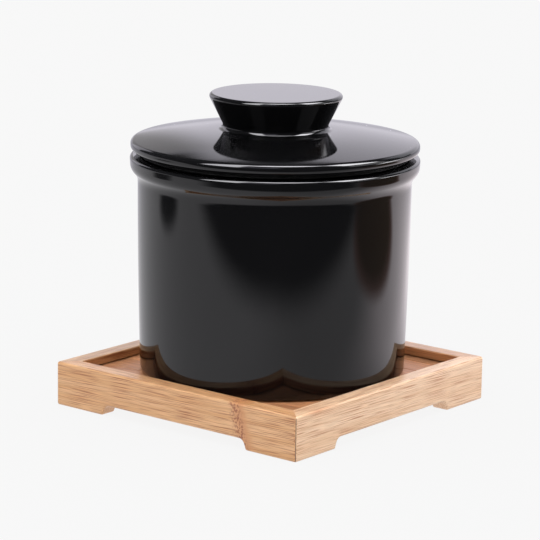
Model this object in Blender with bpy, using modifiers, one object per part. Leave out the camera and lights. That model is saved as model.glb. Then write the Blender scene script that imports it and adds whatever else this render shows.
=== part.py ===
"""A lidded ceramic crock for fermenting, standing in a square bamboo tray.

Units are metres, +Z up. The origin is the centre of the tray's footprint, on the plane that
its feet stand on. X runs along the floor slats. Each moving piece hangs from an empty on the
axis that it lifts along.
"""

import math

import bmesh
import bpy
from mathutils import Matrix, Vector

# Driving dimensions ---------------------------------------------------------------------

GAP = 0.0003  # left between pieces that touch

TRAY_SIDE = 0.160
RAIL_THICKNESS = 0.0098
RAIL_HEIGHT = 0.0232
RAIL_ARRIS = 0.0013
CORNER_ARRIS = 0.0012
RELIEF_HEIGHT = 0.0054  # the cut below each rail that leaves the corner feet
RELIEF_HALF_LENGTH = 0.0480
RELIEF_LEAN = 0.0020
RELIEF_TOP_RADIUS = 0.0038
FOOT_RADIUS = 0.0012

FLOOR_RECESS = 0.0050  # from the rails' top down to the slats
SLAT_THICKNESS = 0.0050
SLAT_COUNT = 10
SLAT_PITCH = 0.0163
SLAT_FIRST_JOINT = -0.0673  # between the front slat and the next
SLAT_ARRIS = 0.0003
GROOVE_DEPTH = 0.0032
GROOVE_HEADROOM = 0.0006

SPLINE_THICKNESS = 0.0020
SPLINE_WIDTH = 0.0060
SPLINE_MARGIN = 0.0028  # from the spline's ends to the rail's top and bottom

CROCK_HEIGHT = 0.1137
RIM_RADIUS = 0.07535
RIM_BAND = 0.0068
RIM_UNDERCUT = 0.0039
MOUTH_RADIUS = 0.0660
BODY_RADIUS = 0.0711
BODY_FOOT_RADIUS = 0.0695
BODY_CURVE = 1.8  # how late the wall draws in towards the foot
INNER_FOOT_RADIUS = 0.0646
CROCK_FLOOR = 0.0060
FLOOR_FILLET = 0.0060
FOOT_ARRIS = 0.0030
FOOT_RING_WIDTH = 0.0095
FOOT_RECESS = 0.0015

LID_RADIUS = 0.07493
LID_EDGE = 0.0051
LID_RISE = 0.0111  # from the lid's lower edge to where the knob starts
LID_CURVE = 1.7
LID_WALL = 0.0055
KNOB_TOP = 0.0298
KNOB_RADIUS = 0.0355
KNOB_NECK_RADIUS = 0.0260
KNOB_ARRIS = 0.0017
KNOB_FILLET = 0.0022
KNOB_CORE_RADIUS = 0.0200
KNOB_CROWN = 0.0070
SPIGOT_RADIUS = 0.0647
SPIGOT_DEPTH = 0.0095
SPIGOT_WALL = 0.0038

SEAL_THICKNESS = 0.0022
SEAL_OUTER_RADIUS = 0.0700

WEIGHT_RADIUS = 0.0600
WEIGHT_THICKNESS = 0.0140
WEIGHT_SPLIT = 0.0030
WEIGHT_NOTCH_RADIUS = 0.0100
WEIGHT_ARRIS = 0.0020

TURN_STEPS = 48
ARC_STEP = math.radians(30)
SHARP_ANGLE = math.radians(35)
WELD = 0.00001

# Worked out from the driving dimensions --------------------------------------------------

HALF_TRAY = TRAY_SIDE / 2
TRAY_INNER = HALF_TRAY - RAIL_THICKNESS
FLOOR_TOP = RAIL_HEIGHT - FLOOR_RECESS
GROOVE_INNER = TRAY_INNER + GROOVE_DEPTH
CROCK_BASE = FLOOR_TOP + GAP
LID_SEAT = SEAL_THICKNESS + 2 * GAP  # from the rim to the lid's lower edge


# Helpers --------------------------------------------------------------------------------

def clear_scene():
    for obj in list(bpy.data.objects):
        bpy.data.objects.remove(obj)


def new_collection(name):
    collection = bpy.data.collections.new(name)
    bpy.context.scene.collection.children.link(collection)
    return collection


def material(name, colour, roughness, coat=0.0):
    made = bpy.data.materials.new(name)
    made.use_nodes = True
    shader = made.node_tree.nodes["Principled BSDF"]
    shader.inputs["Base Color"].default_value = (*colour, 1)
    shader.inputs["Roughness"].default_value = roughness
    shader.inputs["Metallic"].default_value = 0.0
    shader.inputs["Coat Weight"].default_value = coat
    return made


def add(name, mesh, collection, parent=None, location=(0, 0, 0), turn=0.0):
    obj = bpy.data.objects.new(name, mesh)
    collection.objects.link(obj)
    obj.parent = parent
    obj.location = location
    obj.rotation_euler.z = turn
    return obj


def add_cutter(name, mesh, location=(0, 0, 0), turn=0.0):
    obj = add(name, mesh, CUTTERS, location=location, turn=turn)
    obj.hide_render = True
    obj.display_type = "WIRE"
    return obj


def subtract(obj, cutter):
    boolean = obj.modifiers.new(cutter.name, "BOOLEAN")
    boolean.operation = "DIFFERENCE"
    boolean.solver = "EXACT"
    boolean.object = cutter


def apply_modifiers(obj):
    """Turns the object's modifiers into mesh, smooth where it is round."""
    evaluated = obj.evaluated_get(bpy.context.evaluated_depsgraph_get())
    mesh = bpy.data.meshes.new_from_object(evaluated)
    mesh.name = obj.name
    mesh.shade_smooth()
    mesh.set_sharp_from_angle(angle=SHARP_ANGLE)
    obj.modifiers.clear()
    obj.data = mesh
    return mesh


def rounded(corners, closed=False, arc_step=ARC_STEP):
    """An outline through (x, y, radius) corners, each radius drawn as an arc."""
    points = []
    for index, (x, y, radius) in enumerate(corners):
        is_end = not closed and index in (0, len(corners) - 1)
        if is_end or radius == 0:
            points.append((x, y))
            continue
        corner = Vector((x, y))
        before = (Vector(corners[index - 1][:2]) - corner).normalized()
        after = (Vector(corners[(index + 1) % len(corners)][:2]) - corner).normalized()
        half_angle = before.angle(after) / 2
        centre = corner + (before + after).normalized() * radius / math.sin(half_angle)
        spoke = corner + before * radius / math.tan(half_angle) - centre
        sweep = math.copysign(math.pi - 2 * half_angle, after.cross(before))
        steps = max(1, round(abs(sweep) / arc_step))
        for step in range(steps + 1):
            turned_spoke = Matrix.Rotation(sweep * step / steps, 2) @ spoke
            points.append(tuple(centre + turned_spoke))
    return points


def turned(name, outline, parent, look, closed=False):
    """Turns (radius, height) points about Z. The outline's outer side runs downwards."""
    mesh = bpy.data.meshes.new(name)
    points = [(radius, 0, height) for radius, height in outline]
    edges = [(i, i + 1) for i in range(len(points) - 1)]
    if closed:
        edges.append((len(points) - 1, 0))
    mesh.from_pydata(points, edges, [])
    obj = add(name, mesh, PARTS, parent)
    screw = obj.modifiers.new("Turn", "SCREW")
    screw.steps = TURN_STEPS
    screw.render_steps = TURN_STEPS
    screw.use_merge_vertices = True
    screw.merge_threshold = WELD
    apply_modifiers(obj).materials.append(look)
    return obj


def slab(name, outline, thickness):
    """A closed XY outline, thickened by the same amount above and below Z = 0."""
    curve = bpy.data.curves.new(name, "CURVE")
    curve.dimensions = "2D"
    curve.fill_mode = "BOTH"
    curve.extrude = thickness / 2
    spline = curve.splines.new("POLY")
    spline.points.add(len(outline) - 1)
    for point, (x, y) in zip(spline.points, outline):
        point.co = (x, y, 0, 1)
    spline.use_cyclic_u = True
    guide = add(name, curve, CUTTERS)
    evaluated = guide.evaluated_get(bpy.context.evaluated_depsgraph_get())
    mesh = bpy.data.meshes.new_from_object(evaluated)
    bpy.data.objects.remove(guide)
    shape = bmesh.new()
    shape.from_mesh(mesh)
    bmesh.ops.remove_doubles(shape, verts=shape.verts, dist=WELD)
    bmesh.ops.recalc_face_normals(shape, faces=shape.faces)
    shape.to_mesh(mesh)
    shape.free()
    return mesh


def block(name, size):
    """A box of the given (x, y, z) size about its centre."""
    mesh = bpy.data.meshes.new(name)
    shape = bmesh.new()
    bmesh.ops.create_cube(shape, size=1)
    bmesh.ops.scale(shape, verts=shape.verts, vec=size)
    shape.to_mesh(mesh)
    shape.free()
    return mesh


def add_bevel(obj, width, segments):
    bevel = obj.modifiers.new("Arris", "BEVEL")
    bevel.width = width
    bevel.segments = segments
    bevel.limit_method = "ANGLE"
    bevel.angle_limit = SHARP_ANGLE


# Tray -----------------------------------------------------------------------------------

def rail_moulding():
    """The front rail before it is cut: its section drawn out along X to both mitres."""
    inner_arris = 0.8 * RAIL_ARRIS
    groove_top = FLOOR_TOP + GROOVE_HEADROOM
    groove_bottom = FLOOR_TOP - SLAT_THICKNESS - GAP
    section = rounded(
        [
            (HALF_TRAY, 0, RAIL_ARRIS),
            (HALF_TRAY, RAIL_HEIGHT, RAIL_ARRIS),
            (TRAY_INNER, RAIL_HEIGHT, inner_arris),
            (TRAY_INNER, groove_top, 0),
            (GROOVE_INNER, groove_top, 0),
            (GROOVE_INNER, groove_bottom, 0),
            (TRAY_INNER, groove_bottom, 0),
            (TRAY_INNER, 0, inner_arris),
        ],
        closed=True,
    )
    mesh = slab("rail", section, TRAY_SIDE)
    mitre_setback = GAP / 2 * math.sqrt(2)
    for vertex in mesh.vertices:
        outward, height, along = vertex.co
        reach = math.copysign(outward - mitre_setback, along)
        vertex.co = (-reach, -outward, height)
    return mesh


def relief_cutter():
    """The opening below a rail: leaning ends, rounded at the feet and at the top."""
    below = -0.002
    foot = RELIEF_HALF_LENGTH
    top = RELIEF_HALF_LENGTH - RELIEF_LEAN
    past_foot = foot + 0.004
    outline = rounded(
        [
            (-past_foot, below, 0),
            (past_foot, below, 0),
            (past_foot, 0, 0),
            (foot, 0, FOOT_RADIUS),
            (top, RELIEF_HEIGHT, RELIEF_TOP_RADIUS),
            (-top, RELIEF_HEIGHT, RELIEF_TOP_RADIUS),
            (-foot, 0, FOOT_RADIUS),
            (-past_foot, 0, 0),
        ],
        closed=True,
    )
    mesh = slab("relief", outline, 3 * RAIL_THICKNESS)
    upright = Matrix.Rotation(math.pi / 2, 4, "X")
    mesh.transform(upright)
    rail_middle = HALF_TRAY - RAIL_THICKNESS / 2
    return add_cutter("relief", mesh, location=(0, -rail_middle, 0))


def corner_cutter(side):
    """Rounds the tray's upright outer corner at the end of the front rail on that side."""
    outside = HALF_TRAY + 0.002
    start = HALF_TRAY - CORNER_ARRIS
    outline = rounded(
        [
            (start, -outside, 0),
            (outside, -outside, 0),
            (outside, -start, 0),
            (HALF_TRAY, -start, 0),
            (HALF_TRAY, -HALF_TRAY, CORNER_ARRIS * 0.999),
            (start, -HALF_TRAY, 0),
        ],
        closed=True,
    )
    mesh = slab("corner", [(side * x, y) for x, y in outline], 3 * RAIL_HEIGHT)
    return add_cutter("corner", mesh)


def spline_place(quarter):
    """Where the spline of a corner sits, and which way it is turned."""
    angle = math.pi / 4 + quarter * math.pi / 2
    reach = (HALF_TRAY - RAIL_THICKNESS / 2) * math.sqrt(2)
    return (reach * math.cos(angle), reach * math.sin(angle), RAIL_HEIGHT / 2), angle


def make_rails(parent, look):
    rail = add("rail", rail_moulding(), CUTTERS)
    subtract(rail, relief_cutter())
    for side in (-1, 1):
        subtract(rail, corner_cutter(side))
    slot = (
        SPLINE_THICKNESS + 2 * GAP,
        SPLINE_WIDTH + 2 * GAP,
        RAIL_HEIGHT - 2 * SPLINE_MARGIN + 2 * GAP,
    )
    for quarter in (2, 3):
        place, angle = spline_place(quarter)
        slot_cutter = add_cutter("spline_slot", block("slot", slot), place, angle)
        subtract(rail, slot_cutter)
    mesh = apply_modifiers(rail)
    mesh.materials.append(look)
    bpy.data.objects.remove(rail)
    for quarter, side in enumerate(("front", "right", "back", "left")):
        add(f"tray_rail_{side}", mesh, PARTS, parent, turn=quarter * math.pi / 2)


def make_splines(parent, look):
    size = (SPLINE_THICKNESS, SPLINE_WIDTH, RAIL_HEIGHT - 2 * SPLINE_MARGIN)
    mesh = block("corner_spline", size)
    mesh.materials.append(look)
    for quarter in range(4):
        place, angle = spline_place(quarter)
        add(f"corner_spline_{quarter + 1}", mesh, PARTS, parent, place, angle)


def make_slats(parent, look):
    """The strips of a board cut to fit the grooves, so its first and last are narrow."""
    reach = GROOVE_INNER - GAP
    height = FLOOR_TOP - SLAT_THICKNESS / 2
    joints = [SLAT_FIRST_JOINT + index * SLAT_PITCH for index in range(SLAT_COUNT - 1)]
    edges = [-reach - GAP / 2, *joints, reach + GAP / 2]
    for index, (near, far) in enumerate(zip(edges, edges[1:])):
        size = (2 * reach, far - near - GAP, SLAT_THICKNESS)
        name = f"floor_slat_{index + 1}"
        slat = add(name, block(name, size), PARTS, parent, (0, (near + far) / 2, height))
        add_bevel(slat, SLAT_ARRIS, 1)
        slat.data.materials.append(look)


# Crock and lid ---------------------------------------------------------------------------

def crock_outline():
    """From the middle of the inside floor, up the inside, over the rim, down to the foot."""
    band_foot = CROCK_HEIGHT - RIM_BAND
    wall_top = band_foot - RIM_UNDERCUT
    wall_foot = 0.0045
    wall_steps = 6
    foot_inner = BODY_FOOT_RADIUS - FOOT_RING_WIDTH
    corners = [
        (0, CROCK_FLOOR, 0),
        (INNER_FOOT_RADIUS, CROCK_FLOOR, FLOOR_FILLET),
        (MOUTH_RADIUS, CROCK_HEIGHT, 0.0016),
        (RIM_RADIUS, CROCK_HEIGHT, 0.0016),
        (RIM_RADIUS - 0.0003, band_foot, 0.0058),
        (BODY_RADIUS, wall_top, 0.0066),
    ]
    for step in range(1, wall_steps + 1):
        drop = step / wall_steps
        radius = BODY_RADIUS - (BODY_RADIUS - BODY_FOOT_RADIUS) * drop**BODY_CURVE
        corners.append((radius, wall_top + (wall_foot - wall_top) * drop, 0))
    corners += [
        (BODY_FOOT_RADIUS, 0, FOOT_ARRIS),
        (foot_inner, 0, 0.0006),
        (foot_inner - 0.0015, FOOT_RECESS, 0.0006),
        (0, FOOT_RECESS, 0),
    ]
    return rounded(corners)


def lid_outline():
    """From the middle of the knob's top, down the outside, then back below the lid."""
    dome_steps = 7
    spigot_inner = SPIGOT_RADIUS - SPIGOT_WALL
    core_top = KNOB_TOP - KNOB_CROWN
    corners = [
        (0, KNOB_TOP, 0),
        (KNOB_RADIUS, KNOB_TOP, KNOB_ARRIS),
        (KNOB_NECK_RADIUS, LID_RISE, KNOB_FILLET),
    ]
    for step in range(1, dome_steps):
        spread = step / dome_steps
        radius = KNOB_NECK_RADIUS + (LID_RADIUS - KNOB_NECK_RADIUS) * spread
        corners.append((radius, LID_RISE - (LID_RISE - LID_EDGE) * spread**LID_CURVE, 0))
    corners += [
        (LID_RADIUS, LID_EDGE, 0.0024),
        (LID_RADIUS, 0, 0.0024),
        (SPIGOT_RADIUS, 0, 0.0005),
        (SPIGOT_RADIUS - 0.0003, -SPIGOT_DEPTH, 0.0012),
        (spigot_inner, -SPIGOT_DEPTH, 0.0012),
        (spigot_inner, LID_EDGE - LID_WALL / 2, 0.0025),
        (KNOB_CORE_RADIUS, LID_RISE - 0.8 * LID_WALL, 0.0015),
        (KNOB_CORE_RADIUS - 0.0005, core_top, 0.0030),
        (0, core_top, 0),
    ]
    return rounded(corners)


def seal_outline():
    inner = SPIGOT_RADIUS + GAP
    edge = 0.0007
    corners = [
        (inner, SEAL_THICKNESS, edge),
        (SEAL_OUTER_RADIUS, SEAL_THICKNESS, edge),
        (SEAL_OUTER_RADIUS, 0, edge),
        (inner, 0, edge),
    ]
    return rounded(corners, closed=True, arc_step=math.pi / 2)


# Weights ---------------------------------------------------------------------------------

def weight_mesh():
    """A half disc on the +X side, with a finger notch in the middle of its straight edge."""
    edge = WEIGHT_SPLIT / 2
    rim_steps = 20
    notch_steps = 8
    outline = []
    half_rim = math.acos(edge / WEIGHT_RADIUS)
    for step in range(rim_steps + 1):
        angle = half_rim * (2 * step / rim_steps - 1)
        outline.append((WEIGHT_RADIUS * math.cos(angle), WEIGHT_RADIUS * math.sin(angle)))
    half_notch = math.acos(edge / WEIGHT_NOTCH_RADIUS)
    for step in range(notch_steps + 1):
        angle = half_notch * (1 - 2 * step / notch_steps)
        x = WEIGHT_NOTCH_RADIUS * math.cos(angle)
        outline.append((x, WEIGHT_NOTCH_RADIUS * math.sin(angle)))
    return slab("weight", outline, WEIGHT_THICKNESS)


def make_weight(side, turn, parent, look):
    name = f"weight_{side}"
    lift = add(f"{name}_lift", None, PARTS, parent, (0, 0, CROCK_FLOOR + GAP))
    weight = add(name, weight_mesh(), PARTS, lift, (0, 0, WEIGHT_THICKNESS / 2), turn)
    add_bevel(weight, WEIGHT_ARRIS, 2)
    apply_modifiers(weight).materials.append(look)


# The object ------------------------------------------------------------------------------

clear_scene()
PARTS = new_collection("ceramic_crock_fermenter")
CUTTERS = new_collection("cutters")
CUTTERS.hide_render = True

glaze = material("black_glaze", (0.012, 0.011, 0.012), 0.08, coat=1.0)
bamboo = material("bamboo", (0.62, 0.40, 0.22), 0.45)
floor_bamboo = material("floor_bamboo", (0.55, 0.28, 0.15), 0.50)
silicone = material("black_silicone", (0.015, 0.015, 0.016), 0.60)
stoneware = material("stoneware", (0.66, 0.60, 0.52), 0.70)

tray = add("tray", None, PARTS)
make_rails(tray, bamboo)
make_splines(tray, bamboo)
make_slats(tray, floor_bamboo)

crock_lift = add("crock_lift", None, PARTS, location=(0, 0, CROCK_BASE))
turned("crock", crock_outline(), crock_lift, glaze)

lid_lift = add("lid_lift", None, PARTS, crock_lift, (0, 0, CROCK_HEIGHT + LID_SEAT))
turned("lid", lid_outline(), lid_lift, glaze)
seal = turned("lid_seal_ring", seal_outline(), lid_lift, silicone, closed=True)
seal.location.z = -GAP - SEAL_THICKNESS

make_weight("right", 0.0, crock_lift, stoneware)
make_weight("left", math.pi, crock_lift, stoneware)
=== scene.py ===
"""The looks of the ceramic crock fermenter: glazed crock and lid, bamboo tray, and a plain studio.

Metres, +Z up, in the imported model's frame: the origin is the centre of the tray's footprint on
the surface it stands on, -Y faces the front rail and +X the right rail.
"""

import math

import bmesh
import bpy
from mathutils import Matrix, Vector


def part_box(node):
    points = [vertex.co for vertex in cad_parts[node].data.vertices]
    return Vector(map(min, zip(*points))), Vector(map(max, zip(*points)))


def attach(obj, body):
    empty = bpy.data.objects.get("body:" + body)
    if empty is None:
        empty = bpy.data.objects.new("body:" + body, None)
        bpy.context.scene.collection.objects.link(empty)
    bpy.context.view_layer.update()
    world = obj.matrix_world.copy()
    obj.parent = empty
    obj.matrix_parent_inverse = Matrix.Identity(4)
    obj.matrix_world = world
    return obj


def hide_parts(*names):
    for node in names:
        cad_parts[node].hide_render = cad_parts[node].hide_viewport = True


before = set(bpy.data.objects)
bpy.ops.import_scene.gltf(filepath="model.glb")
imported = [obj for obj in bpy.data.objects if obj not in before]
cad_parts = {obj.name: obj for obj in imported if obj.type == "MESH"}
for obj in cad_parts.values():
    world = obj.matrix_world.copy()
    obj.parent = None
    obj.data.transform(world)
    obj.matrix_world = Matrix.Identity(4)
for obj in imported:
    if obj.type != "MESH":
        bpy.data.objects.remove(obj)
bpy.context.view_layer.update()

# Sizes that the frame gives ---------------------------------------------------------------

CROCK_LOW, CROCK_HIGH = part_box("crock")
LID_LOW, LID_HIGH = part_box("lid")
SEAL_LOW, SEAL_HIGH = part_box("lid_seal_ring")
WEIGHT_LOW, WEIGHT_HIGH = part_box("weight_right")
RAIL_LOW, RAIL_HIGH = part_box("tray_rail_front")
FLOOR_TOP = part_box("floor_slat_5")[1].z
SLAT_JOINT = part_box("floor_slat_5")[1].y
SLAT_NAMES = sorted(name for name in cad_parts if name.startswith("floor_slat"))
SPLINE_NAMES = sorted(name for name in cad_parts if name.startswith("corner_spline"))

# Sizes that repeat the design's; the small radii of rails and seal differ from it a little ----

GAP = 0.0003

RAIL_ARRIS = 0.0013
CORNER_ARRIS = 0.0014
FOOT_ARRIS = 0.0011
MITRE_SETBACK = 0.00003
RELIEF_HEIGHT = 0.0054
RELIEF_HALF_LENGTH = 0.0480
RELIEF_LEAN = 0.0020
RELIEF_TOP_RADIUS = 0.0038
FOOT_RADIUS = 0.0013
GROOVE_DEPTH = 0.0032
GROOVE_HEADROOM = 0.0006
SLAT_THICKNESS = 0.0050
SLAT_PITCH = 0.0163
SPLINE_THICKNESS = 0.0020
SPLINE_WIDTH = 0.0060
SPLINE_MARGIN = 0.0028

RIM_BAND = 0.0068
RIM_UNDERCUT = 0.0039
RIM_ARRIS = 0.0016
RIM_TAPER = 0.0003
RIM_UNDERSIDE_RADIUS = 0.0058
RIM_FILLET = 0.0066
MOUTH_RADIUS = 0.0660
BODY_RADIUS = 0.0711
BODY_FOOT_RADIUS = 0.0695
BODY_CURVE = 1.8
BODY_CURVE_END = 0.0045  # above the foot
INNER_FOOT_RADIUS = 0.0646
CROCK_FLOOR = 0.0060
FLOOR_FILLET = 0.0060
FOOT_ROUND = 0.0030
FOOT_RING_WIDTH = 0.0095
FOOT_RECESS = 0.0015
FOOT_RING_LEAN = 0.0015
FOOT_RING_ARRIS = 0.0006

LID_EDGE = 0.0051
LID_RISE = 0.0111
LID_CURVE = 1.7
LID_WALL = 0.0055
LID_ARRIS = 0.0024
LID_INNER_FILLET = 0.0025
KNOB_RADIUS = 0.0355
KNOB_NECK_RADIUS = 0.0260
KNOB_ARRIS = 0.0017
KNOB_FILLET = 0.0022
KNOB_CORE_RADIUS = 0.0200
KNOB_CROWN = 0.0070
KNOB_CORE_TAPER = 0.0005
KNOB_CORE_ARRIS = 0.0015
KNOB_CORE_FILLET = 0.0030
SPIGOT_RADIUS = 0.0647
SPIGOT_DEPTH = 0.0095
SPIGOT_WALL = 0.0038
SPIGOT_TAPER = 0.0003
SPIGOT_ARRIS = 0.0012
SPIGOT_FILLET = 0.0005

SEAL_ARRIS = 0.0004
SEAL_GROOVE_DEPTH = 0.0008
SEAL_GROOVE_HALF_WIDTH = 0.0003
SEAL_GROOVE_RADIUS = 0.0003
SEAL_LIP_ARRIS = 0.0002

WEIGHT_NOTCH_RADIUS = 0.0100
WEIGHT_ARRIS = 0.0020

TURN_STEPS = 256
ARC_STEP = math.radians(9)
SHARP_ANGLE = math.radians(35)
WELD = 0.000002

# The materials' colours and patterns --------------------------------------------------------

GLAZE_COLOUR = (0.0030, 0.0030, 0.0034)
GLAZE_ROUGHNESS = (0.055, 0.085)
GLAZE_WAVES = 45.0  # per metre
GLAZE_RELIEF = 0.00002
PINHOLES = 260.0  # per metre
PINHOLE_EDGE = (0.03, 0.07)  # from its middle, as a share of their spacing
BARE_FOOT_EDGE = (0.0002, 0.0006)  # heights above the foot between which the glaze starts
CLAY_DARK = (0.20, 0.15, 0.11)  # the crock's bare foot ring
CLAY_LIGHT = (0.34, 0.27, 0.21)
CLAY_GRAIN = 900.0  # per metre
GRAIN_LEAN = math.radians(1.2)  # of the fibres across a rail's upright faces
# How often the vessels, the fine grain and the broad bands repeat per metre, along and across.
VESSEL_SCALE = (42.0, 2500.0)
FINE_SCALE = (90.0, 3200.0)
BAND_SCALE = (9.0, 300.0)
VESSEL_PATCHES = 60.0  # per metre
RAIL_LACQUER = 0.6
SLAT_LACQUER = 0.15
LACQUER_ROUGHNESS = 0.35
RAIL_ROUGHNESS = (0.36, 0.50)
SLAT_ROUGHNESS = (0.34, 0.48)
BAMBOO_RELIEF = 0.00003
KNUCKLE_ROW = 0.0500  # along the front rail
KNUCKLE_LEAN = 0.28  # along the rail, for each metre upwards
KNUCKLE_RAGGED = 0.005
KNUCKLE_WAVES = 420.0  # per metre
KNUCKLE_SPOTS = 750.0  # per metre
KNUCKLE_STAIN = (0.56, 0.25, 0.10)
KNUCKLE_BLOTCH = (0.25, 0.06, 0.02)
GLUE_COLOUR = (0.16, 0.09, 0.05)
GLUE_EDGE = (0.00018, 0.00045)  # how far apart a corner's x and y are where the glue ends
# Each rail's pale bands, tan bands and vessels, with painted light and shade: the right rail's are
# paler for the light and sheen from the right, the back and left rails' darker for their shade.
RAIL_LIT_COLOURS = {
    "front": ((0.72, 0.42, 0.215), (0.63, 0.33, 0.14), (0.32, 0.10, 0.027)),
    "right": ((0.87, 0.61, 0.41), (0.79, 0.51, 0.31), (0.49, 0.21, 0.095)),
    "back": ((0.65, 0.40, 0.23), (0.57, 0.32, 0.175), (0.36, 0.15, 0.07)),
    "left": ((0.59, 0.37, 0.205), (0.52, 0.30, 0.155), (0.32, 0.14, 0.06)),
}
# Where in the grain each piece of bamboo is cut from.
GRAIN_SEEDS = {"front": 10, "right": 17, "back": 24, "left": 31, "slat": 40, "spline": 70}
INNER_FACE_SHADE = (1.08, 0.82, 0.62)  # painted shade of the rails' inner faces, which look at the crock
SPLINE_COLOURS = ((0.66, 0.40, 0.24), (0.58, 0.33, 0.18), (0.40, 0.19, 0.09))
SLAT_LIGHT = (0.72, 0.33, 0.15)
SLAT_DARK = (0.48, 0.20, 0.09)
SLAT_FIBRE = (0.30, 0.11, 0.05)
# Painted shade: factors for the three front strips, for the others, and once more for the hindmost,
# beside the back rail.
SLAT_PAINTED_SHADES = (0.74, 1.06, 0.52)
STONEWARE_PALE = (0.70, 0.63, 0.53)
STONEWARE_TAN = (0.60, 0.53, 0.44)
STONEWARE_SAND = (0.38, 0.31, 0.24)
IRON_SPECK = (0.16, 0.09, 0.05)
STONEWARE_CLOUDS = 70.0  # per metre, as are the next two
STONEWARE_GRAINS = 1800.0
STONEWARE_SPECKS = 330.0
STONEWARE_ROUGHNESS = (0.68, 0.86)
STONEWARE_RELIEF = 0.00006
SILICONE_DARK = (0.004, 0.004, 0.004)
SILICONE_DUSTY = (0.012, 0.012, 0.012)
SILICONE_DUST = 140.0  # per metre, as is the next
SILICONE_TEXTURE = 5200.0
SILICONE_ROUGHNESS = (0.50, 0.64)
SILICONE_RELIEF = 0.00002

# The camera, solved from the picture's perspective ------------------------------------------

VIEW_AZIMUTH = math.radians(38.7603)  # from -Y towards +X
VIEW_ELEVATION = math.radians(12.2447)
VIEW_ROLL = math.radians(0.8971)
VIEW_DISTANCE = 1.38603
VIEW_TARGET = Vector((0, 0, 0.0800))
FOCAL_LENGTH = 176.906  # mm, behind a sensor that is SENSOR mm wide
TARGET_OFFSET = (0.24047, -1.10353)  # mm right and down on the sensor, from its centre
SENSOR = 36.0


# The studio. Light is in linear units where 1 is white. Each softbox: the middle of its bearing
# from the camera's side, in degrees to the right, its half width, lowest and highest elevation,
# soft edge, and light. A later one covers the earlier ones.

FLOOR_WHITE = (0.917, 0.917, 0.917)
FLOOR_GLOW = 0.97  # how much of the floor's light is its own, and so has no shadow
# Light on matt surfaces from the camera's side, from behind and from overhead.
SKY_FRONT = (0.66, 0.66, 0.66)
SKY_BACK = (0.25, 0.25, 0.25)
SKY_TOP = (3.0, 3.0, 3.0)
DIM_AGAIN = 0.92  # how much light is lost where gloss mirrors gloss
# What gloss picks up, in the world and on the table.
ROOM_GREY = (0.10, 0.10, 0.11)
PAPER_LEFT = (0.85, 0.84, 0.87)
PAPER_RIGHT = (0.60, 0.59, 0.61)
PAPER_GLOW = (1.55, 1.42, 1.48)
BROWN_THING = (0.16, 0.11, 0.075)
BROWN_EDGE = (0.42, 0.26, 0.23)
DARK_FRONT = (0.06, 0.06, 0.065)
# Places and half widths on the table are metres to the right and towards the camera's side.
BROWN_PLACE = (0.62, 0.02)
BROWN_REACH = (0.30, 0.22)
LEFT_DARK_PLACE = (-0.63, -0.05)
LEFT_DARK_REACH = (0.12, 0.12)
PAPER_NEAR_EDGE = (0.26, 0.40)
PAPER_FAR_EDGE = (-0.85, -0.25)
PAPER_RIGHT_EDGE = (0.95, 1.30)
PAPER_SLANT = 0.2  # of its near edge, on the right
SIDE_GLOW = (13.0, 12.9, 13.4)
BACKDROP = (1.20, 1.16, 1.28)
FAR_BEHIND = (0.70, 0.68, 0.76)
SOFTBOXES = (
    (180, 45, -90, 31, 2, BACKDROP),
    (180, 45, -90, 2, 3, FAR_BEHIND),
    (-165, 10, 4, 24, 2, (0.60, 0.58, 0.60)),
    (-165, 9, 24, 40, 2, (0.06, 0.06, 0.06)),
    (135, 16, 10, 40, 4, (1.1, 1.1, 1.2)),
    (20, 40, -20, 46, 4, (0.10, 0.10, 0.11)),
    (-12, 16, 17, 40, 5, (0.95, 0.92, 1.10)),
    (15, 50, 60, 84, 4, (16.0, 15.8, 16.6)),
    (-45, 16, 17, 76, 3, (11.0, 10.9, 11.4)),
    (79, 19, -6, 32, 3, (1.6, 1.6, 1.65)),
    (79, 19, 30, 62, 3, (18.0, 17.8, 18.6)),
)


# Helpers ------------------------------------------------------------------------------------

def add(name, mesh, look=None):
    obj = bpy.data.objects.new(name, mesh)
    bpy.context.scene.collection.objects.link(obj)
    if look:
        mesh.materials.append(look)
    return obj


def apply_modifiers(obj):
    evaluated = obj.evaluated_get(bpy.context.evaluated_depsgraph_get())
    mesh = bpy.data.meshes.new_from_object(evaluated)
    mesh.name = obj.name
    obj.modifiers.clear()
    obj.data = mesh
    return mesh


def smooth(mesh):
    mesh.shade_smooth()
    mesh.set_sharp_from_angle(angle=SHARP_ANGLE)


def place(obj, body, slot, *nodes):
    """Stands obj for those CAD nodes, on that body. The slot argument is not used."""
    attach(obj, body)
    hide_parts(*nodes)


def rounded(corners, closed=False, arc_step=ARC_STEP):
    """An outline through (x, y, radius) corners, each radius drawn as an arc."""
    points = []
    for index, (x, y, radius) in enumerate(corners):
        is_end = not closed and index in (0, len(corners) - 1)
        if is_end or radius == 0:
            points.append((x, y))
            continue
        corner = Vector((x, y))
        before = (Vector(corners[index - 1][:2]) - corner).normalized()
        after = (Vector(corners[(index + 1) % len(corners)][:2]) - corner).normalized()
        half_angle = before.angle(after) / 2
        centre = corner + (before + after).normalized() * radius / math.sin(half_angle)
        spoke = corner + before * radius / math.tan(half_angle) - centre
        sweep = math.copysign(math.pi - 2 * half_angle, after.cross(before))
        steps = max(1, round(abs(sweep) / arc_step))
        for step in range(steps + 1):
            turned_spoke = Matrix.Rotation(sweep * step / steps, 2) @ spoke
            points.append(tuple(centre + turned_spoke))
    return points


def supported(outline, reach=0.0004):
    """The outline with a point close to each end of its long stretches, which keeps them flat."""
    points = [outline[0]]
    for start, end in zip(outline, outline[1:]):
        run = Vector(end) - Vector(start)
        if run.length > 4 * reach:
            points.append(tuple(Vector(start) + run.normalized() * reach))
            points.append(tuple(Vector(end) - run.normalized() * reach))
        points.append(end)
    return points


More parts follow.
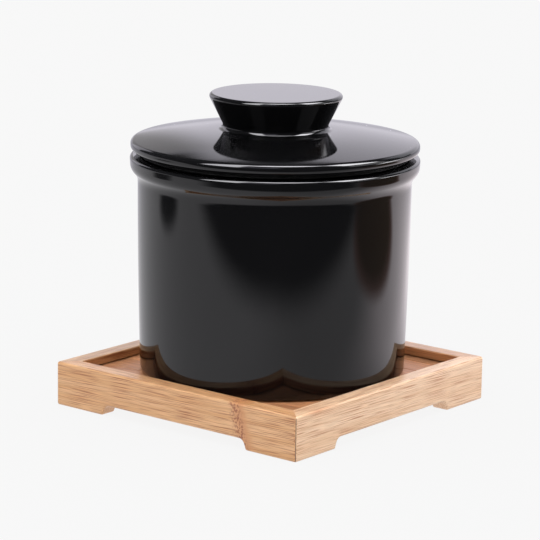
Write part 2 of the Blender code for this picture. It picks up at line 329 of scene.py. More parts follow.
def turned(name, outline, look, closed=False):
    """Turns (radius, height) points about Z. The outline's outer side runs downwards."""
    mesh = bpy.data.meshes.new(name)
    points = [(radius, 0, height) for radius, height in outline]
    edges = [(i, i + 1) for i in range(len(points) - 1)]
    if closed:
        edges.append((len(points) - 1, 0))
    mesh.from_pydata(points, edges, [])
    obj = add(name, mesh)
    screw = obj.modifiers.new("Turn", "SCREW")
    screw.steps = TURN_STEPS
    screw.render_steps = TURN_STEPS
    screw.use_merge_vertices = True
    screw.merge_threshold = WELD
    made = apply_modifiers(obj)
    smooth(made)
    made.materials.append(look)
    return obj


# Node helpers -------------------------------------------------------------------------------

def node(tree, kind, links=None, **settings):
    """A shader node with its settings. links maps a socket's name or index to a value or a socket."""
    made = tree.nodes.new(kind)
    for key, value in settings.items():
        setattr(made, key, value)
    for key, value in (links or {}).items():
        socket = made.inputs[key]
        if isinstance(value, bpy.types.NodeSocket):
            tree.links.new(value, socket)
        else:
            socket.default_value = value
    return made


def maths(tree, operation, *values, clamp=False):
    """The result socket of a Math node."""
    links = dict(enumerate(values))
    return node(tree, "ShaderNodeMath", links, operation=operation, use_clamp=clamp).outputs[0]


def ramp(tree, factor, low, high, to_low=0.0, to_high=1.0):
    """Maps factor smoothly from low..high to to_low..to_high."""
    links = {0: factor, 1: low, 2: high, 3: to_low, 4: to_high}
    made = node(tree, "ShaderNodeMapRange", links, interpolation_type="SMOOTHSTEP")
    return made.outputs[0]


def blend(tree, factor, first, second, how="MIX"):
    """The colour socket of a Mix node; each colour is a socket or an (r, g, b)."""
    made = tree.nodes.new("ShaderNodeMix")
    made.data_type = "RGBA"
    made.blend_type = how
    sockets = [s for s in made.inputs if s.enabled]
    for socket, value in zip(sockets, (factor, first, second)):
        if isinstance(value, bpy.types.NodeSocket):
            tree.links.new(value, socket)
        elif socket.type == "RGBA":
            socket.default_value = (*value, 1)
        else:
            socket.default_value = value
    return next(s for s in made.outputs if s.enabled)


def noise(tree, vector, scale, detail=2.0, roughness=0.5):
    links = {"Vector": vector, "Scale": scale, "Detail": detail, "Roughness": roughness}
    return node(tree, "ShaderNodeTexNoise", links).outputs["Fac"]


def new_look(name):
    """(material, its node tree, its Principled BSDF)."""
    look = bpy.data.materials.new(name)
    look.use_nodes = True
    return look, look.node_tree, look.node_tree.nodes["Principled BSDF"]


def object_place(tree):
    return tree.nodes.new("ShaderNodeTexCoord").outputs["Object"]


# Materials ----------------------------------------------------------------------------------

def stretched(tree, where, along, scale, seed):
    """Coordinates for a pattern that runs along "X" or "Y". scale is (along, across), per metre."""
    lengthways, crossways = scale
    size = [crossways, crossways, crossways]
    size["XYZ".index(along)] = lengthways
    lean = node(tree, "ShaderNodeVectorRotate", {"Vector": where, "Angle": GRAIN_LEAN})
    lean.rotation_type = "Y_AXIS" if along == "X" else "X_AXIS"
    links = {"Vector": lean.outputs[0], "Location": (seed, 2 * seed, 3 * seed), "Scale": size}
    return node(tree, "ShaderNodeMapping", links).outputs[0]


def bump(tree, shader, height, distance, strength=1.0):
    links = {"Height": height, "Distance": distance, "Strength": strength}
    made = node(tree, "ShaderNodeBump", links)
    tree.links.new(made.outputs[0], shader.inputs["Normal"])


def glaze_look():
    """Gloss black glaze, a little uneven, with pinholes, wiped off the foot ring."""
    look, tree, shader = new_look("glaze")
    where = object_place(tree)
    uneven = noise(tree, where, GLAZE_WAVES)
    pores = node(tree, "ShaderNodeTexVoronoi", {"Vector": where, "Scale": PINHOLES})
    pinhole = ramp(tree, pores.outputs["Distance"], *PINHOLE_EDGE, 1.0, 0.0)
    height = node(tree, "ShaderNodeSeparateXYZ", {0: where}).outputs["Z"]
    above_foot = maths(tree, "SUBTRACT", height, CROCK_LOW.z)
    bare = ramp(tree, above_foot, *BARE_FOOT_EDGE, 1.0, 0.0)
    clay = blend(tree, noise(tree, where, CLAY_GRAIN, 3.0), CLAY_DARK, CLAY_LIGHT)
    colour = blend(tree, bare, GLAZE_COLOUR, clay)
    tree.links.new(colour, shader.inputs["Base Color"])
    gloss = ramp(tree, uneven, 0.3, 0.7, *GLAZE_ROUGHNESS)
    pitted = maths(tree, "MULTIPLY_ADD", pinhole, 0.2, gloss)
    tree.links.new(maths(tree, "MULTIPLY_ADD", bare, 0.7, pitted), shader.inputs["Roughness"])
    shader.inputs["IOR"].default_value = 1.5
    surface = maths(tree, "MULTIPLY_ADD", pinhole, -0.15, uneven)
    bump(tree, shader, surface, GLAZE_RELIEF)
    return look


def fibres(tree, where, along, seed):
    """(vessels, fine grain, broad bands) of bamboo, each from 0 to 1."""
    vessels = noise(tree, stretched(tree, where, along, VESSEL_SCALE, seed), 1.0, 1.0)
    fine = noise(tree, stretched(tree, where, along, FINE_SCALE, seed + 5), 1.0)
    broad = noise(tree, stretched(tree, where, along, BAND_SCALE, seed + 9), 1.0)
    return ramp(tree, vessels, 0.50, 0.64), fine, ramp(tree, broad, 0.35, 0.65)


def knuckle(tree, where):
    """(stain, blotches) of the joint of the cane that shows on the front rail."""
    x, _, z = node(tree, "ShaderNodeSeparateXYZ", {0: where}).outputs
    leaning = maths(tree, "MULTIPLY_ADD", z, KNUCKLE_LEAN, x)
    place = maths(tree, "MULTIPLY_ADD", noise(tree, where, KNUCKLE_WAVES), KNUCKLE_RAGGED, leaning)
    past = maths(tree, "SUBTRACT", place, KNUCKLE_ROW)
    column = maths(tree, "MULTIPLY", ramp(tree, past, -0.006, -0.001),
                   ramp(tree, past, 0.001, 0.004, 1.0, 0.0))
    stain = maths(tree, "MULTIPLY", ramp(tree, past, -0.005, 0.001),
                  ramp(tree, past, 0.003, 0.009, 1.0, 0.0))
    blotches = ramp(tree, noise(tree, where, KNUCKLE_SPOTS, 1.0), 0.42, 0.62)
    return stain, maths(tree, "MULTIPLY", blotches, column)


def bamboo_look(name, along, pale, tan, fibre, seed, has_knuckle=False):
    """Lacquered bamboo: pale and tan bands, fine grain, and short darker vessels, with painted shade
    on the rails' inner faces.
    """
    look, tree, shader = new_look(name)
    where = object_place(tree)
    vessels, fine, broad = fibres(tree, where, along, seed)
    patchy = ramp(tree, noise(tree, where, VESSEL_PATCHES), 0.35, 0.65, 0.65, 1.0)
    colour = blend(tree, broad, pale, tan)
    grain = ramp(tree, fine, 0.3, 0.7, 1.08, 0.88)
    colour = blend(tree, 1.0, colour, grey(tree, grain), "MULTIPLY")
    colour = blend(tree, maths(tree, "MULTIPLY", vessels, patchy), colour, fibre)
    if has_knuckle:
        stain, blotches = knuckle(tree, where)
        colour = blend(tree, maths(tree, "MULTIPLY", stain, 0.8), colour, KNUCKLE_STAIN)
        colour = blend(tree, maths(tree, "MULTIPLY", blotches, 0.85), colour, KNUCKLE_BLOTCH)
    # Painted shade: the faces that look inwards are darkened and reddened.
    inner_shaded = blend(tree, 1.0, colour, INNER_FACE_SHADE, "MULTIPLY")
    colour = blend(tree, inner_shade_mask(tree, where), colour, inner_shaded)
    colour = blend(tree, mitre_glue(tree, where), colour, GLUE_COLOUR)
    tree.links.new(colour, shader.inputs["Base Color"])
    tree.links.new(ramp(tree, fine, 0.2, 0.8, *RAIL_ROUGHNESS), shader.inputs["Roughness"])
    lacquer(shader, RAIL_LACQUER)
    bump(tree, shader, maths(tree, "MULTIPLY_ADD", vessels, -0.8, fine), BAMBOO_RELIEF)
    return look


def lacquer(shader, coat):
    """A satin coat over the bamboo. coat is how much of it there is, from 0 to 1."""
    shader.inputs["IOR"].default_value = 1.5
    shader.inputs["Coat Weight"].default_value = coat
    shader.inputs["Coat Roughness"].default_value = LACQUER_ROUGHNESS


def inner_shade_mask(tree, where):
    """1 on the rails' faces that look inwards, where shade is painted."""
    x, y, _ = node(tree, "ShaderNodeSeparateXYZ", {0: where}).outputs
    out = maths(tree, "MAXIMUM", maths(tree, "ABSOLUTE", x), maths(tree, "ABSOLUTE", y))
    inner = -RAIL_HIGH.y
    return ramp(tree, out, inner + 0.0001, inner + 0.0006, 1.0, 0.0)


def grey(tree, value):
    return node(tree, "ShaderNodeCombineColor", {0: value, 1: value, 2: value}).outputs[0]


def mitre_glue(tree, where):
    """1 on the thin glue line down each corner of the tray, below its top arris."""
    x, y, z = node(tree, "ShaderNodeSeparateXYZ", {0: where}).outputs
    apart = maths(tree, "SUBTRACT", maths(tree, "ABSOLUTE", x), maths(tree, "ABSOLUTE", y))
    line = ramp(tree, maths(tree, "ABSOLUTE", apart), *GLUE_EDGE, 0.9, 0.0)
    upright = ramp(tree, z, RAIL_HIGH.z - RAIL_ARRIS, RAIL_HIGH.z - RAIL_ARRIS / 2, 1.0, 0.0)
    return maths(tree, "MULTIPLY", line, upright)


def slat_look():
    """The floor's strips: redder bamboo, each strip of its own tone, with painted shade on the front
    strips and the hindmost one.
    """
    look, tree, shader = new_look("floor_bamboo")
    where = object_place(tree)
    vessels, fine, broad = fibres(tree, where, "X", GRAIN_SEEDS["slat"])
    across = node(tree, "ShaderNodeSeparateXYZ", {0: where}).outputs["Y"]
    from_joint = maths(tree, "SUBTRACT", across, SLAT_JOINT)
    strip = maths(tree, "FLOOR", maths(tree, "DIVIDE", from_joint, SLAT_PITCH))
    tone = node(tree, "ShaderNodeTexWhiteNoise", {"W": strip}, noise_dimensions="1D").outputs[0]
    colour = blend(tree, tone, SLAT_LIGHT, SLAT_DARK)
    # Strips count from 0 behind the joint of SLAT_JOINT, and -3 is the hindmost of the front ones.
    # Painted shade: the front strips and the hindmost one are darker, the others a little lighter.
    front = ramp(tree, strip, -2.6, -2.4, SLAT_PAINTED_SHADES[0], SLAT_PAINTED_SHADES[1])
    hindmost_shade = ramp(tree, strip, 3.4, 3.6, 1.0, SLAT_PAINTED_SHADES[2])
    colour = blend(tree, 1.0, colour, grey(tree, maths(tree, "MULTIPLY", front, hindmost_shade)), "MULTIPLY")
    grain = ramp(tree, maths(tree, "ADD", fine, broad), 0.6, 1.6, 1.08, 0.88)
    colour = blend(tree, 1.0, colour, grey(tree, grain), "MULTIPLY")
    colour = blend(tree, maths(tree, "MULTIPLY", vessels, 0.7), colour, SLAT_FIBRE)
    tree.links.new(colour, shader.inputs["Base Color"])
    tree.links.new(ramp(tree, fine, 0.2, 0.8, *SLAT_ROUGHNESS), shader.inputs["Roughness"])
    lacquer(shader, SLAT_LACQUER)
    bump(tree, shader, maths(tree, "MULTIPLY_ADD", vessels, -0.8, fine), BAMBOO_RELIEF)
    return look


def stoneware_look():
    """Bare fired clay: sandy, with iron specks."""
    look, tree, shader = new_look("stoneware")
    where = object_place(tree)
    cloudy = noise(tree, where, STONEWARE_CLOUDS, 3.0)
    sandy = noise(tree, where, STONEWARE_GRAINS, 3.0, 0.65)
    colour = blend(tree, ramp(tree, cloudy, 0.3, 0.7), STONEWARE_PALE, STONEWARE_TAN)
    colour = blend(tree, ramp(tree, sandy, 0.3, 0.7, 0.25, 0.0), colour, STONEWARE_SAND)
    grains = node(tree, "ShaderNodeTexVoronoi", {"Vector": where, "Scale": STONEWARE_SPECKS})
    speck = ramp(tree, grains.outputs["Distance"], 0.08, 0.16, 0.9, 0.0)
    colour = blend(tree, speck, colour, IRON_SPECK)
    tree.links.new(colour, shader.inputs["Base Color"])
    matt = ramp(tree, sandy, 0.2, 0.8, *STONEWARE_ROUGHNESS)
    tree.links.new(matt, shader.inputs["Roughness"])
    bump(tree, shader, sandy, STONEWARE_RELIEF)
    return look


def silicone_look():
    """Matt black food-grade silicone, faintly dusty, with a moulded texture."""
    look, tree, shader = new_look("silicone")
    where = object_place(tree)
    dusty = noise(tree, where, SILICONE_DUST, 4.0, 0.6)
    texture = noise(tree, where, SILICONE_TEXTURE, 1.0)
    colour = blend(tree, ramp(tree, dusty, 0.4, 0.8), SILICONE_DARK, SILICONE_DUSTY)
    tree.links.new(colour, shader.inputs["Base Color"])
    matt = ramp(tree, dusty, 0.3, 0.7, *SILICONE_ROUGHNESS)
    tree.links.new(matt, shader.inputs["Roughness"])
    shader.inputs["IOR"].default_value = 1.41
    shader.inputs["Specular IOR Level"].default_value = 0.25
    bump(tree, shader, texture, SILICONE_RELIEF)
    return look


# Crock, lid and seal --------------------------------------------------------------------------

def crock_outline():
    """From the middle of the inside floor, up the inside, over the rim, down to the foot."""
    foot, rim, rim_radius = CROCK_LOW.z, CROCK_HIGH.z, CROCK_HIGH.x
    band_foot = rim - RIM_BAND
    wall_top = band_foot - RIM_UNDERCUT
    wall_foot = foot + BODY_CURVE_END
    wall_steps = 24
    foot_inner = BODY_FOOT_RADIUS - FOOT_RING_WIDTH
    corners = [
        (0, foot + CROCK_FLOOR, 0),
        (INNER_FOOT_RADIUS, foot + CROCK_FLOOR, FLOOR_FILLET),
        (MOUTH_RADIUS, rim, RIM_ARRIS),
        (rim_radius, rim, RIM_ARRIS),
        (rim_radius - RIM_TAPER, band_foot, RIM_UNDERSIDE_RADIUS),
        (BODY_RADIUS, wall_top, RIM_FILLET),
    ]
    for step in range(1, wall_steps + 1):
        drop = step / wall_steps
        radius = BODY_RADIUS - (BODY_RADIUS - BODY_FOOT_RADIUS) * drop**BODY_CURVE
        corners.append((radius, wall_top + (wall_foot - wall_top) * drop, 0))
    corners += [
        (BODY_FOOT_RADIUS, foot, FOOT_ROUND),
        (foot_inner, foot, FOOT_RING_ARRIS),
        (foot_inner - FOOT_RING_LEAN, foot + FOOT_RECESS, FOOT_RING_ARRIS),
        (0, foot + FOOT_RECESS, 0),
    ]
    return supported(rounded(corners))


def lid_outline():
    """From the middle of the knob's top, down the outside, then back below the lid."""
    spigot_foot, knob_top, lid_radius = LID_LOW.z, LID_HIGH.z, LID_HIGH.x
    lid_low = spigot_foot + SPIGOT_DEPTH
    neck = lid_low + LID_RISE
    dome_steps = 24
    spigot_inner = SPIGOT_RADIUS - SPIGOT_WALL
    core_top = knob_top - KNOB_CROWN
    corners = [
        (0, knob_top, 0),
        (KNOB_RADIUS, knob_top, KNOB_ARRIS),
        (KNOB_NECK_RADIUS, neck, KNOB_FILLET),
    ]
    for step in range(1, dome_steps):
        spread = step / dome_steps
        radius = KNOB_NECK_RADIUS + (lid_radius - KNOB_NECK_RADIUS) * spread
        if radius > lid_radius - LID_EDGE / 2:
            break
        drop = (LID_RISE - LID_EDGE) * spread**LID_CURVE
        corners.append((radius, neck - drop, 0))
    corners += [
        (lid_radius, lid_low + LID_EDGE, LID_ARRIS),
        (lid_radius, lid_low, LID_ARRIS),
        (SPIGOT_RADIUS, lid_low, SPIGOT_FILLET),
        (SPIGOT_RADIUS - SPIGOT_TAPER, spigot_foot, SPIGOT_ARRIS),
        (spigot_inner, spigot_foot, SPIGOT_ARRIS),
        (spigot_inner, lid_low + LID_EDGE - LID_WALL / 2, LID_INNER_FILLET),
        (KNOB_CORE_RADIUS, neck - 0.8 * LID_WALL, KNOB_CORE_ARRIS),
        (KNOB_CORE_RADIUS - KNOB_CORE_TAPER, core_top, KNOB_CORE_FILLET),
        (0, core_top, 0),
    ]
    return supported(rounded(corners))


def seal_outline():
    """A flat ring with a groove round its outer edge, which leaves two lips."""
    inner, outer = SPIGOT_RADIUS + GAP, SEAL_HIGH.x
    low, high = SEAL_LOW.z, SEAL_HIGH.z
    middle = (low + high) / 2
    corners = [
        (inner, high, SEAL_ARRIS),
        (outer, high, SEAL_ARRIS),
        (outer, middle + SEAL_GROOVE_HALF_WIDTH, SEAL_LIP_ARRIS),
        (outer - SEAL_GROOVE_DEPTH, middle, SEAL_GROOVE_RADIUS),
        (outer, middle - SEAL_GROOVE_HALF_WIDTH, SEAL_LIP_ARRIS),
        (outer, low, SEAL_ARRIS),
        (inner, low, SEAL_ARRIS),
    ]
    return rounded(corners, closed=True, arc_step=math.radians(30))


def make_ceramics(glaze, silicone):
    place(turned("crock_glazed", crock_outline(), glaze), "crock", "black_glaze", "crock")
    place(turned("lid_glazed", lid_outline(), glaze), "lid", "black_glaze", "lid")
    ring = turned("seal_ring", seal_outline(), silicone, closed=True)
    place(ring, "lid", "black_silicone", "lid_seal_ring")


# Weights --------------------------------------------------------------------------------------

def weight_mesh(name):
    """A half disc on the +X side, with a finger notch in the middle of its straight edge."""
    edge, radius = WEIGHT_LOW.x, WEIGHT_HIGH.x
    rim_steps, notch_steps = 72, 28
    outline = []
    half_rim = math.acos(edge / radius)
    for step in range(rim_steps + 1):
        angle = half_rim * (2 * step / rim_steps - 1)
        outline.append((radius * math.cos(angle), radius * math.sin(angle)))
    half_notch = math.acos(edge / WEIGHT_NOTCH_RADIUS)
    for step in range(notch_steps + 1):
        angle = half_notch * (1 - 2 * step / notch_steps)
        x = WEIGHT_NOTCH_RADIUS * math.cos(angle)
        outline.append((x, WEIGHT_NOTCH_RADIUS * math.sin(angle)))
    mesh = bpy.data.meshes.new(name)
    shape = bmesh.new()
    face = shape.faces.new([shape.verts.new((x, y, WEIGHT_LOW.z)) for x, y in outline])
    raised = bmesh.ops.extrude_face_region(shape, geom=[face])["geom"]
    top = [part for part in raised if isinstance(part, bmesh.types.BMVert)]
    bmesh.ops.translate(shape, verts=top, vec=(0, 0, WEIGHT_HIGH.z - WEIGHT_LOW.z))
    bmesh.ops.recalc_face_normals(shape, faces=shape.faces)
    sharp = [e for e in shape.edges if e.calc_face_angle(0) > SHARP_ANGLE]
    bmesh.ops.bevel(
        shape, geom=sharp, offset=WEIGHT_ARRIS, segments=6, profile=0.5, affect="EDGES"
    )
    shape.to_mesh(mesh)
    shape.free()
    smooth(mesh)
    return mesh


def make_weights(stoneware):
    for side, turn in (("right", 0.0), ("left", math.pi)):
        name = f"weight_{side}"
        mesh = weight_mesh(name)
        mesh.transform(Matrix.Rotation(turn, 4, "Z"))
        place(add(f"{name}_fired", mesh, stoneware), name, "stoneware", name)


# Tray -----------------------------------------------------------------------------------------

def arc(steps, radius):
    """(inset, height) pairs of a quarter round, from its flat end to its upright end."""
    turns = [step / steps * math.pi / 2 for step in range(steps + 1)]
    return [(radius * (1 - math.sin(t)), radius * (1 - math.cos(t))) for t in turns]


def rail_section(outer, inner, top):
    """Points round the rail as (outward, height, rise): height is above the ground, and rise,
    where it isn't None, is above the rail's lower edge instead."""
    groove = inner + GROOVE_DEPTH
    groove_top = FLOOR_TOP + GROOVE_HEADROOM
    groove_bottom = FLOOR_TOP - SLAT_THICKNESS - GAP
    section = [(outer - inset, None, rise) for inset, rise in arc(4, FOOT_ARRIS)]
    section += [(outer - inset, top - drop, None) for inset, drop in reversed(arc(5, RAIL_ARRIS))]
    section += [(inner + inset, top - drop, None) for inset, drop in arc(5, 0.8 * RAIL_ARRIS)]
    section += [
        (inner, groove_top, None),
        (groove, groove_top, None),
        (groove, groove_bottom, None),
        (inner, groove_bottom, None),
    ]
    section += [(inner + inset, None, rise) for inset, rise in reversed(arc(4, FOOT_ARRIS))]
    return section


def lower_edge(reach):
    """((x, z), (normal x, normal z)) along half of the rail's lower edge, out from its middle."""
    foot, top = RELIEF_HALF_LENGTH, RELIEF_HALF_LENGTH - RELIEF_LEAN
    corners = [
        (0.004, RELIEF_HEIGHT, 0),
        (top, RELIEF_HEIGHT, RELIEF_TOP_RADIUS),
        (foot, 0, FOOT_RADIUS),
        (reach, 0, 0),
    ]
    points = [Vector(point) for point in rounded(corners)]
    edge = []
    for index, point in enumerate(points):
        before = points[max(index - 1, 0)]
        after = points[min(index + 1, len(points) - 1)]
        along = (after - before).normalized()
        edge.append((point, Vector((-along.y, along.x))))
    return edge


def rail_mesh(name):
    """The front rail, planed with rounded arrises and mitred at both ends."""
    outer, inner, top = -RAIL_LOW.y, -RAIL_HIGH.y, RAIL_HIGH.z
    section = rail_section(outer, inner, top)
    bend = outer - CORNER_ARRIS  # where the outer face starts to turn round the tray's corner
    spread_from = RELIEF_HALF_LENGTH + FOOT_RADIUS
    turns = [math.radians(45) * step / 5 for step in range(6)]
    end = bend + CORNER_ARRIS * math.sin(turns[-1])
    stations = [(x, z, n, None) for (x, z), n in lower_edge(bend)[:-1]]
    stations += [(bend + CORNER_ARRIS * math.sin(t), 0.0, Vector((0, 1)), t) for t in turns]
    rings = []
    for sign in (-1, 1):
        half = []
        for x, z, normal, turn in stations:
            ring = []
            for outward, height, rise in section:
                lift = FOOT_ARRIS if rise is None else rise
                along = x + lift * normal.x
                level = height if rise is None else z + lift * normal.y
                inset = outer - outward
                spread = max(0.0, along - spread_from) / (end - spread_from)
                if inset >= CORNER_ARRIS:
                    along += spread * (outward - end)
                elif turn is not None:
                    along = bend + (CORNER_ARRIS - inset) * math.sin(turn)
                    outward = bend + (CORNER_ARRIS - inset) * math.cos(turn)
                along -= spread * MITRE_SETBACK
                ring.append((sign * along, -outward, level))
            half.append(ring)
        rings += half[::-1] if sign < 0 else half
    count = len(section)
    points = [point for ring in rings for point in ring]
    faces = [
        (
            start * count + index,
            start * count + (index + 1) % count,
            (start + 1) * count + (index + 1) % count,
            (start + 1) * count + index,
        )
        for start in range(len(rings) - 1)
        for index in range(count)
    ]
    faces.append(tuple(range(count)))
    faces.append(tuple(range(len(points) - count, len(points))))
    mesh = bpy.data.meshes.new(name)
    mesh.from_pydata(points, [], faces)
    shape = bmesh.new()
    shape.from_mesh(mesh)
    bmesh.ops.recalc_face_normals(shape, faces=shape.faces)
    shape.to_mesh(mesh)
    shape.free()
    return mesh


def spline_slot(name, sign):
    """A cutter for the slot that a corner spline sits in, at the front rail's end on that side."""
    middle = (RAIL_LOW.y + RAIL_HIGH.y) / 2
    size = (
        SPLINE_THICKNESS + 2 * GAP,
        SPLINE_WIDTH + 2 * GAP,
        RAIL_HIGH.z - 2 * SPLINE_MARGIN + 2 * GAP,
    )
    shape = bmesh.new()
    bmesh.ops.create_cube(shape, size=1)
    bmesh.ops.scale(shape, verts=shape.verts, vec=size)
    turn = Matrix.Rotation(-sign * math.radians(45), 4, "Z")
    across = Matrix.Translation((-sign * middle, middle, RAIL_HIGH.z / 2))
    bmesh.ops.transform(shape, matrix=across @ turn, verts=shape.verts)
    mesh = bpy.data.meshes.new(name)
    shape.to_mesh(mesh)
    shape.free()
    cutter = add(name, mesh)
    cutter.hide_render = True
    return cutter


def coat(names, look):
    """Gives those CAD nodes that material."""
    for name in names:
        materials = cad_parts[name].data.materials
        materials.clear()
        materials.append(look)


def make_tray():
    """Four rails with their own grain and tones, which carry painted light and shade; the slats and
    splines are the CAD's own solids.
    """
    cutters = [spline_slot("spline_slot", sign) for sign in (-1, 1)]
    for quarter, (side, colours) in enumerate(RAIL_LIT_COLOURS.items()):
        node_name = f"tray_rail_{side}"
        rail = add(f"rail_{side}_planed", rail_mesh(node_name))
        for cutter in cutters:
            cut = rail.modifiers.new("Slot", "BOOLEAN")
            cut.operation = "DIFFERENCE"
            cut.solver = "EXACT"
            cut.object = cutter
        mesh = apply_modifiers(rail)
        smooth(mesh)
        mesh.transform(Matrix.Rotation(quarter * math.pi / 2, 4, "Z"))
        along = "XY"[quarter % 2]
        look = bamboo_look(f"bamboo_{side}", along, *colours, GRAIN_SEEDS[side], side == "front")
        mesh.materials.append(look)
        rail.modifiers.new("Even", "WEIGHTED_NORMAL").keep_sharp = True
        place(rail, "tray", "bamboo", node_name)
    for cutter in cutters:
        bpy.data.objects.remove(cutter)
    coat(SLAT_NAMES, slat_look())
    coat(SPLINE_NAMES, bamboo_look("bamboo_spline", "X", *SPLINE_COLOURS, GRAIN_SEEDS["spline"]))


# Camera and studio ----------------------------------------------------------------------------

def make_camera():
    """The picture's view. The sight line is tilted so that the target falls off centre."""
    away = Vector((
        math.sin(VIEW_AZIMUTH) * math.cos(VIEW_ELEVATION),
        -math.cos(VIEW_AZIMUTH) * math.cos(VIEW_ELEVATION),
        math.sin(VIEW_ELEVATION),
    ))
    level_right = (-away).cross(Vector((0, 0, 1))).normalized()
    level_up = level_right.cross(-away)
    right = level_right * math.cos(VIEW_ROLL) + level_up * math.sin(VIEW_ROLL)
    up = level_up * math.cos(VIEW_ROLL) - level_right * math.sin(VIEW_ROLL)
    offset_right, offset_down = TARGET_OFFSET
    sight = -away * FOCAL_LENGTH - right * offset_right + up * offset_down
    sight.normalize()
    right = sight.cross(up).normalized()
    up = right.cross(sight)
    data = bpy.data.cameras.new("camera")
    data.sensor_width = SENSOR
    data.lens = FOCAL_LENGTH
    data.clip_end = 100
    camera = bpy.data.objects.new("camera", data)
    bpy.context.scene.collection.objects.link(camera)
    turn = Matrix((right, up, -sight)).transposed()
    camera.matrix_world = Matrix.Translation(VIEW_TARGET + away * VIEW_DISTANCE) @ turn.to_4x4()
    bpy.context.scene.camera = camera


def studio_place(tree, place):
    """(right, back, up) sockets of a place or direction, as seen from the camera's side."""
    links = {"Vector": place, "Angle": -VIEW_AZIMUTH}
    turn = node(tree, "ShaderNodeVectorRotate", links, rotation_type="Z_AXIS")
    return node(tree, "ShaderNodeSeparateXYZ", {0: turn.outputs[0]}).outputs


def light_path(tree, name):
    return tree.nodes.new("ShaderNodeLightPath").outputs[name]


def between(tree, value, low, high, edge):
    """1 from low to high, with soft edges that wide."""
    rise = ramp(tree, value, low - edge, low + edge)
    return maths(tree, "MULTIPLY", rise, ramp(tree, value, high - edge, high + edge, 1.0, 0.0))


def mirrored_world(tree):
    """The softboxes and dark places that gloss picks up, laid one over another."""
    direction = tree.nodes.new("ShaderNodeTexCoord").outputs["Generated"]
    right, back, up = studio_place(tree, direction)
    bearing = maths(tree, "ARCTAN2", right, maths(tree, "MULTIPLY", back, -1.0))
    elevation = maths(tree, "DEGREES", maths(tree, "ARCSINE", up))
    colour = ROOM_GREY
    for middle, half_width, low, high, edge, light in SOFTBOXES:
        turned_by = maths(tree, "SUBTRACT", bearing, math.radians(middle))
        apart = maths(tree, "ARCCOSINE", maths(tree, "COSINE", turned_by))
        beside = ramp(tree, maths(tree, "DEGREES", apart), half_width - edge, half_width + edge, 1, 0)
        inside = maths(tree, "MULTIPLY", beside, between(tree, elevation, low, high, edge))
        colour = blend(tree, inside, colour, light)
    again = ramp(tree, light_path(tree, "Ray Depth"), 2.2, 2.8, 0.0, DIM_AGAIN)
    return blend(tree, again, colour, ROOM_GREY)


def spot(tree, right, near, place, reach):
    """0 in the middle of an ellipse on the floor and 1 on its edge, by the square of the way."""
    aside = maths(tree, "DIVIDE", maths(tree, "SUBTRACT", right, place[0]), reach[0])
    along = maths(tree, "DIVIDE", maths(tree, "SUBTRACT", near, place[1]), reach[1])
    return maths(tree, "ADD", maths(tree, "POWER", aside, 2.0), maths(tree, "POWER", along, 2.0))


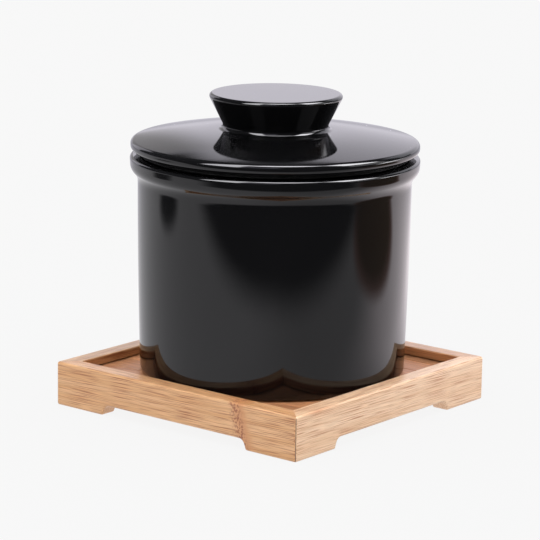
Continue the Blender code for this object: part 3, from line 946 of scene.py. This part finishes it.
def mirrored_floor(tree):
    """What gloss picks up of the table: white paper, its near edge, and things beside it."""
    right, back, _ = studio_place(tree, object_place(tree))
    near = maths(tree, "MULTIPLY", back, -1.0)
    paper = blend(tree, ramp(tree, right, -0.10, 0.10), PAPER_LEFT, PAPER_RIGHT)
    glow = maths(tree, "MULTIPLY", ramp(tree, right, 0.05, 0.20),
                 ramp(tree, near, -0.02, 0.14, 1.0, 0.0))
    paper = blend(tree, glow, paper, PAPER_GLOW)
    brown = spot(tree, right, near, BROWN_PLACE, BROWN_REACH)
    paper = blend(tree, ramp(tree, brown, 0.85, 1.25, 1.0, 0.0), paper, BROWN_EDGE)
    paper = blend(tree, ramp(tree, brown, 0.6, 1.0, 1.0, 0.0), paper, BROWN_THING)
    left = spot(tree, right, near, LEFT_DARK_PLACE, LEFT_DARK_REACH)
    paper = blend(tree, ramp(tree, left, 0.3, 1.7, 1.0, 0.0), paper, DARK_FRONT)
    paper = blend(tree, ramp(tree, right, *PAPER_RIGHT_EDGE), paper, SIDE_GLOW)
    paper = blend(tree, ramp(tree, near, *PAPER_FAR_EDGE, 1.0, 0.0), paper, FAR_BEHIND)
    slant = maths(tree, "MULTIPLY_ADD", maths(tree, "MAXIMUM", right, 0.0), PAPER_SLANT, near)
    return blend(tree, ramp(tree, slant, *PAPER_NEAR_EDGE), paper, DARK_FRONT)


def make_floor():
    """A pale floor under even light, nearly without shadow; gloss picks up the table instead."""
    mesh = bpy.data.meshes.new("floor")
    reach = 30.0
    mesh.from_pydata(
        [(-reach, -reach, 0), (reach, -reach, 0), (reach, reach, 0), (-reach, reach, 0)],
        [],
        [(0, 1, 2, 3)],
    )
    look, tree, shader = new_look("floor")
    shader.inputs["Base Color"].default_value = (*FLOOR_WHITE, 1)
    shader.inputs["Roughness"].default_value = 1.0
    shader.inputs["Specular IOR Level"].default_value = 0.0
    lit = node(tree, "ShaderNodeEmission", {"Color": (*FLOOR_WHITE, 1)})
    links = {0: FLOOR_GLOW, 1: shader.outputs[0], 2: lit.outputs[0]}
    plain = node(tree, "ShaderNodeMixShader", links)
    mirrored = node(tree, "ShaderNodeEmission", {"Color": mirrored_floor(tree)})
    links = {0: light_path(tree, "Is Glossy Ray"), 1: plain.outputs[0], 2: mirrored.outputs[0]}
    chosen = node(tree, "ShaderNodeMixShader", links)
    tree.links.new(chosen.outputs[0], tree.nodes["Material Output"].inputs["Surface"])
    add("studio_floor", mesh, look)


def make_world():
    """Soft light from overhead and the camera's side; gloss picks up the softboxes instead."""
    world = bpy.data.worlds.new("studio")
    world.use_nodes = True
    world.cycles.sampling_method = "NONE"
    tree = world.node_tree
    direction = tree.nodes.new("ShaderNodeTexCoord").outputs["Generated"]
    _, back, up = studio_place(tree, direction)
    side = blend(tree, ramp(tree, back, -0.6, 0.6), SKY_FRONT, SKY_BACK)
    even = blend(tree, ramp(tree, up, 0.4, 1.0), side, SKY_TOP)
    even = blend(tree, light_path(tree, "Is Camera Ray"), even, FLOOR_WHITE)
    colour = blend(tree, light_path(tree, "Is Glossy Ray"), even, mirrored_world(tree))
    tree.links.new(colour, tree.nodes["Background"].inputs["Color"])
    bpy.context.scene.world = world
    bpy.context.scene.view_settings.view_transform = "Standard"


make_camera()
make_floor()
make_world()
make_ceramics(glaze_look(), silicone_look())
make_weights(stoneware_look())
make_tray()
